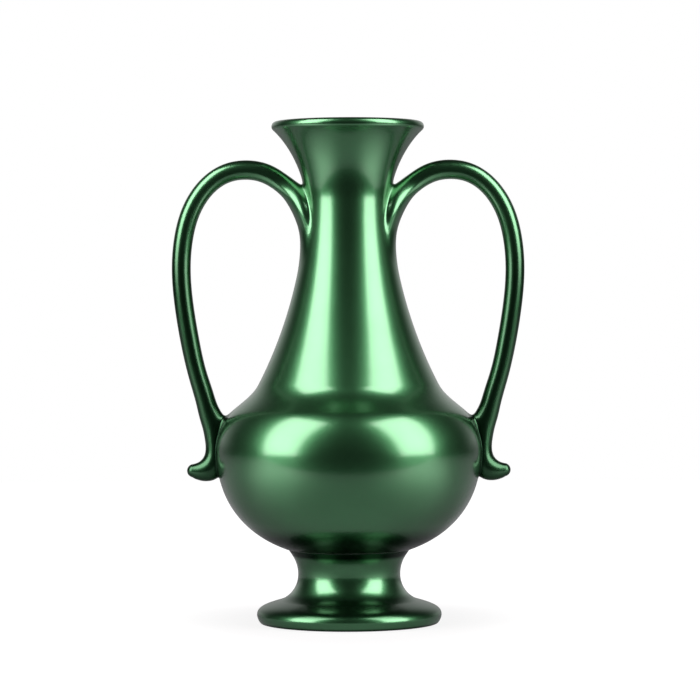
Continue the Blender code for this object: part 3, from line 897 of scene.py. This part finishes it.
def close_seats(bm, body):
    """Closes the two openings of the handle that lie in the body's wall, just under its surface."""
    rims = [e for e in bm.edges if e.is_boundary]
    while rims:
        ring, edge = [], rims[0]
        here = edge.verts[0]
        loop = set()
        while edge and edge not in loop:
            loop.add(edge)
            ring.append(here)
            here = edge.other_vert(here)
            edge = next((e for e in here.link_edges if e.is_boundary and e not in loop), None)
        rims = [e for e in rims if e not in loop]
        centre = sum((v.co for v in ring), Vector()) / len(ring)
        edges = list(loop)
        for share in (1.0, 0.66, 0.33):
            grown = bmesh.ops.extrude_edge_only(bm, edges=edges)["geom"]
            verts = [g for g in grown if isinstance(g, bmesh.types.BMVert)]
            edges = [g for g in grown if isinstance(g, bmesh.types.BMEdge)]
            for v in verts:
                v.co = centre + (v.co - centre) * (share if share == 1.0 else 0.6)
                off, way = body.read(v.co)
                v.co -= way * (off + WALL / 2)
        off, way = body.read(centre)
        bmesh.ops.pointmerge(bm, verts=verts, merge_co=centre - way * (off + WALL / 2))


def delete(bm, verts):
    bmesh.ops.delete(bm, geom=verts, context="VERTS")


def relax(bm, verts):
    bmesh.ops.smooth_vert(bm, verts=verts, factor=0.5, use_axis_x=True, use_axis_y=True, use_axis_z=True)


def settled(bm, bar, body, rounds):
    """Settles every point, and relaxes the mesh between the rounds.

    It is refined in the fillets before the last round. Marks how far each point lies in a fillet's crease, and
    returns the points' distances from the bar."""
    crease = bm.verts.layers.float.new("crease")
    gaps, fills = {}, {}
    for lap in range(rounds):
        if lap == rounds - 1:
            tight = [e for e in bm.edges if min(fills[v] for v in e.verts) > 0.45]
            bmesh.ops.subdivide_edges(bm, edges=tight, cuts=1, use_grid_fill=True)
        if lap:
            relax(bm, [v for v in bm.verts if not v.is_boundary])
        for v in bm.verts:
            v.co, gaps[v], fills[v] = settle(v.co, bar, body)
    for _ in range(3):
        relax(bm, [v for v in bm.verts if v.co.z > NOTCH_Z and fills[v] > 0.1])
    for v in bm.verts:
        v[crease] = fills[v]
    return gaps


def remeshed(bm, voxel):
    mesh = with_modifier(solid_of(bm, "whole"), "REMESH", mode="VOXEL", voxel_size=voxel, adaptivity=0.0)
    bm = bmesh.new()
    bm.from_mesh(mesh)
    bpy.data.meshes.remove(mesh)
    return bm


def make_handles(green):
    """The right handle with its fillets, settled on the body, and the left one turned from it."""
    body = BodyGauge()
    bm = bmesh.new()
    drawn_bar(bm, handle_frames(), HANDLE_SIDES)
    bmesh.ops.recalc_face_normals(bm, faces=bm.faces)
    for _ in range(TOE_ROUNDING):
        relax(bm, [v for v in bm.verts if v.co.x > TOE_BOX[0] and v.co.z < TOE_BOX[1]])
    bar = BVHTree.FromBMesh(bm)
    for block in body_blocks():
        bm.from_mesh(block)
        bpy.data.meshes.remove(block)
    bm = remeshed(bm, ROUGH_VOXEL)
    for fuller in FULLER_FILLETS:
        outside = [v for v in bm.verts if body.read(v.co)[0] > -2 * ROUGH_VOXEL]
        near = [v for v in outside if read_solid(bar, v.co)[0] < 1.5 * fillet_width(v.co)]
        for v in near:
            v.co = settle(v.co, bar, body, fuller)[0]
        relax(bm, near)
    bm = remeshed(bm, HANDLE_VOXEL)
    delete(bm, [v for v in bm.verts if read_solid(bar, v.co)[0] > 1.3 * fillet_width(v.co) + 0.001])
    delete(bm, [v for v in bm.verts if body.read(v.co)[0] < -0.0025])
    gaps = settled(bm, bar, body, 3)
    delete(bm, [v for v in bm.verts if gaps[v] > 1.12 * fillet_width(v.co)])
    delete(bm, [v for v in bm.verts if not v.link_faces])
    close_seats(bm, body)
    right = finished("cast_handle_right", bm, green, sharp=60.0)
    bm = bmesh.new()
    bm.from_mesh(right.data)
    bmesh.ops.rotate(bm, verts=bm.verts, cent=(0, 0, 0), matrix=Matrix.Rotation(math.pi, 3, "Z"))
    left = finished("cast_handle_left", bm, green, sharp=60.0)
    return right, left


# Fastenings and seals


def make_tie_bolt(steel):
    low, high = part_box("tie_bolt")
    head_z = high.z - BOLT_HEAD_THICK
    into_head = head_z + 0.001
    taper, rise = BOLT_POINT
    shank = [(0.0, low.z), (BOLT_RADIUS - taper, low.z), (BOLT_RADIUS, low.z + rise)]
    shank += [(BOLT_RADIUS, into_head), (0.0, into_head)]
    bm = bmesh.new()
    spun(bm, shank, 40, closed=False)
    hexagon(bm, BOLT_HEAD_FLATS, head_z, high.z, HEAD_CHAMFER)
    return finished("long_bolt", bm, steel, sharp=28.0)


def make_screw(name, node, angle, steel):
    """A button-head screw, laid along X, with its hexagon socket sunk in the crown."""
    low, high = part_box(node)
    reach = max(abs(low.x), abs(high.x))
    head = min(abs(low.x), abs(high.x))
    height = (low.z + high.z) / 2
    seat = head + SCREW_HEAD_THICK
    socket_floor = head + SCREW_SOCKET_DEPTH
    socket = 1.04 * SCREW_SOCKET_FLATS / 2 / math.cos(math.pi / 6)
    dome = SCREW_HEAD_THICK - SCREW_RIM_THICK
    outline = [(socket, socket_floor)]
    for degrees in range(0, 91, 9):
        turn = math.radians(degrees)
        radius = socket + (SCREW_HEAD_RADIUS - socket) * math.sin(turn)
        outline.append((radius, seat - SCREW_RIM_THICK - dome * math.cos(turn)))
    outline += [(SCREW_HEAD_RADIUS, seat), (SCREW_RADIUS, seat), (SCREW_RADIUS, reach - SCREW_POINT)]
    outline += [(SCREW_RADIUS - SCREW_POINT, reach), (0.0, reach)]
    bm = bmesh.new()
    spun(bm, outline, 48, closed=False)
    floor = bmesh.ops.create_circle(bm, cap_ends=True, radius=socket, segments=6)
    bmesh.ops.translate(bm, verts=floor["verts"], vec=(0, 0, socket_floor))
    bmesh.ops.rotate(bm, verts=bm.verts, cent=(0, 0, 0), matrix=Matrix.Rotation(math.radians(90), 3, "Y"))
    bmesh.ops.rotate(bm, verts=bm.verts, cent=(0, 0, 0), matrix=Matrix.Rotation(angle, 3, "Z"))
    bmesh.ops.translate(bm, verts=bm.verts, vec=(0, 0, height))
    return finished(name, bm, steel, sharp=30.0)


# The stage


LAMP_COLOUR = (1.0, 0.89, 0.935)
LAMP_AZIMUTH = 61
LAMP_ELEVATION = 31
LAMP_DISTANCE = 3.0
LAMP_SIZE = (2.0, 3.8)
LAMP_WATTS = 132
LAMP_AIM = (0.0, 0.0, 0.19)
TABLE_CENTRE_Y = 0.62
# How far from the axis a painted shadow makes the table's glow a little darker under the vase
CONTACT_PAINTED_SHADOW = (0.055, 0.180)
# Where a painted reflection of the lamps glows on the table for mirrored rays: by the direction from the axis, from
# -1 behind to 1 in front, and the distance
PAINTED_REFLECTION_SPREAD = (-0.18, 0.45, 0.62, 1.0)
PAINTED_REFLECTION_REACH = (0.08, 0.55)
CAMERA_PLACE = (0.0011, -2.058, 0.2199)
CAMERA_LENS = 151.6
CAMERA_DIP = 0.8124
CAMERA_ROLL = -0.2


def make_floor():
    """A white table top that keeps the vase's faint shadow, partly real and partly painted into its glow near the
    vase, and runs into the backdrop without an edge.

    The camera, the mirrored rays and the scattered rays each see it in their own way; the mirrored rays also see a
    painted reflection of the lamps glowing on it."""
    bm = bmesh.new()
    bmesh.ops.create_grid(bm, x_segments=1, y_segments=1, size=1.0)
    bmesh.ops.scale(bm, verts=bm.verts, vec=(1.6, 1.05, 1.0))
    bmesh.ops.translate(bm, verts=bm.verts, vec=(0.0, TABLE_CENTRE_Y, 0.0))
    made, finish = new_finish("white_table")
    camera_ray = finish.add("ShaderNodeLightPath", output=0)
    glossy_ray = finish.add("ShaderNodeLightPath", output=3)
    radius = finish.radius()
    oval = finish.place((1.0, 0.62, 0.0))
    near = finish.add("ShaderNodeVectorMath", {"operation": "LENGTH"}, {0: oval}, output=1)
    # Painted shadow: the glow the camera sees dims a little near the vase
    white = 0.82 + 0.18 * finish.ease(near, *CONTACT_PAINTED_SHADOW)
    forward = finish.add("ShaderNodeSeparateXYZ", None, {0: finish.place()}, output=1) * -1.0 / (radius + 0.001)
    streak = finish.within(forward, *PAINTED_REFLECTION_SPREAD) * finish.ease(radius, *PAINTED_REFLECTION_REACH)
    lit = finish.add("ShaderNodeBsdfDiffuse", None, {"Color": (0.80, 0.80, 0.80, 1.0)})
    glow = finish.add("ShaderNodeEmission", None, {"Color": (1, 1, 1, 1), "Strength": white})
    shade = finish.add("ShaderNodeBsdfDiffuse", None, {"Color": (0.133, 0.139, 0.136, 1.0)})
    seen = finish.add("ShaderNodeAddShader", None, {0: glow, 1: shade})
    dull = finish.add("ShaderNodeBsdfDiffuse", None, {"Color": (0.270, 0.285, 0.290, 1.0)})
    # Painted reflection: a glow in the lamps' colour on the table, seen only by mirrored rays
    lamp_streak = finish.blend(streak, (0.0, 0.0, 0.0, 1.0), (*LAMP_COLOUR, 1.0))
    painted_reflection_glow = finish.add("ShaderNodeEmission", None, {"Color": lamp_streak, "Strength": 1.15})
    mirrored = finish.add("ShaderNodeAddShader", None, {0: dull, 1: painted_reflection_glow})
    unseen = finish.add("ShaderNodeMixShader", None, {0: glossy_ray, 1: lit, 2: mirrored})
    mixed = finish.add("ShaderNodeMixShader", None, {0: camera_ray, 1: unseen, 2: seen})
    finish.add("ShaderNodeOutputMaterial", None, {"Surface": mixed})
    finished("table_top", bm, made)


def softbox(name, azimuth):
    """A tall lamp that faces the vase. Azimuth is measured from the camera's side towards +X."""
    a, e = math.radians(azimuth), math.radians(LAMP_ELEVATION)
    back = Vector((math.sin(a) * math.cos(e), -math.cos(a) * math.cos(e), math.sin(e)))
    data = bpy.data.lights.new(name, "AREA")
    data.shape = "RECTANGLE"
    data.size, data.size_y = LAMP_SIZE
    data.energy = LAMP_WATTS
    data.color = LAMP_COLOUR
    lamp = bpy.data.objects.new(name, data)
    lamp.location = Vector(LAMP_AIM) + back * LAMP_DISTANCE
    lamp.rotation_euler = (-back).to_track_quat("-Z", "Y").to_euler()
    bpy.context.scene.collection.objects.link(lamp)


def light_studio():
    """Two lamps, and a dim room with a pale backdrop. The camera sees the room as white."""
    softbox("softbox_left", -LAMP_AZIMUTH)
    softbox("softbox_right", LAMP_AZIMUTH)
    world = bpy.data.worlds.new("studio")
    bpy.context.scene.world = world
    world.use_nodes = True
    world.node_tree.nodes.clear()
    studio = Finish(world.node_tree)
    way = studio.add("ShaderNodeTexCoord", output=0)
    back = studio.add("ShaderNodeSeparateXYZ", None, {0: way}, output=1)
    up = studio.add("ShaderNodeSeparateXYZ", None, {0: way}, output=2)
    camera_ray = studio.add("ShaderNodeLightPath", output=0)
    backdrop = studio.ease(back, 0.45, 0.97)
    dim = 0.02 + (0.16 + 0.30 * studio.ease(up, -0.03, 0.12)) * backdrop * (1 - studio.ease(up, 0.35, 0.8))
    seen = studio.add("ShaderNodeMath", {"operation": "MAXIMUM"}, {0: dim, 1: camera_ray})
    sky = studio.add("ShaderNodeBackground", None, {"Color": (1, 1, 1, 1), "Strength": seen})
    studio.add("ShaderNodeOutputWorld", None, {"Surface": sky})


def set_camera():
    data = bpy.data.cameras.new("camera")
    data.lens = CAMERA_LENS
    data.sensor_width = 36.0
    data.clip_start, data.clip_end = 0.05, 30.0
    camera = bpy.data.objects.new("camera", data)
    tilt = Matrix.Rotation(math.radians(90.0 - CAMERA_DIP), 4, "X")
    roll = Matrix.Rotation(math.radians(CAMERA_ROLL), 4, "Z")
    camera.matrix_world = Matrix.Translation(CAMERA_PLACE) @ tilt @ roll
    bpy.context.scene.collection.objects.link(camera)
    bpy.context.scene.camera = camera


def fit_out(piece, slot, *nodes):
    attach(piece, "root")
    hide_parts(*nodes)


def repaint(node, finish):
    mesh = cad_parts[node].data
    mesh.materials.clear()
    mesh.materials.append(finish)


def dress_vase():
    shells = green_lacquer("green_lacquer_on_spun_metal", SHELL_ROUGHNESS)
    castings = green_lacquer("green_lacquer_on_castings", CASTING_ROUGHNESS)
    handles = green_lacquer("green_lacquer_on_handles", CASTING_ROUGHNESS, FALL_SHADE_FACTOR)
    inside = overspray_inside()
    aluminium = plain_metal("spun_aluminium", (0.50, 0.51, 0.51, 1), (0.66, 0.67, 0.67, 1), 0.30, 9000.0, True)
    steel = plain_metal("zinc_plated_steel", (0.42, 0.43, 0.44, 1), (0.58, 0.59, 0.60, 1), 0.26, 900.0, False)
    rubber = black_rubber()
    felt = green_felt()

    fit_out(make_neck(shells, inside), "green_shells", "neck_shell")
    fit_out(make_bowl(shells, inside), "green_shells", "bowl_shell")
    fit_out(make_pedestal(castings), "green_castings", "pedestal")

    for piece, node in zip(make_handles(handles), ("handle_right", "handle_left")):
        fit_out(piece, "green_castings", node)

    for name, node, finish, slot, bevel, bulge in (
        ("floor_disc_turned", "floor_disc", aluminium, "aluminium", 0.00045, 0.0),
        ("floor_gasket_squeezed", "floor_gasket", rubber, "rubber", 0.00030, 0.00025),
        ("bolt_seal_squeezed", "tie_bolt_seal", rubber, "rubber", 0.00030, 0.00020),
    ):
        low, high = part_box(node)
        inner = (FLOOR_HOLE_RADIUS if node == "floor_gasket" else BOLT_RADIUS) + GAP
        fit_out(rounded_ring(name, inner, high.x, low.z, high.z, finish, bevel, bulge=bulge), slot, node)

    low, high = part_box("felt_pad")
    fit_out(rounded_ring("felt_disc", 0.0, high.x, low.z, high.z, felt, 0.0006, 128), "felt", "felt_pad")
    fit_out(make_tie_bolt(steel), "steel", "tie_bolt")
    for side, turn in (("right", 0.0), ("left", math.pi)):
        for place in ("neck", "bowl"):
            node = f"{place}_screw_{side}"
            fit_out(make_screw(f"{place}_button_screw_{side}", node, turn, steel), "steel", node)
            repaint(f"{place}_washer_{side}", rubber)
    for node in ("rim_wire", "base_plate", "tie_washer", "tie_nut"):
        repaint(node, steel)


def set_the_picture():
    scene = bpy.context.scene
    scene.view_settings.view_transform = "Standard"
    set_camera()
    make_floor()
    light_studio()


dress_vase()
set_the_picture()
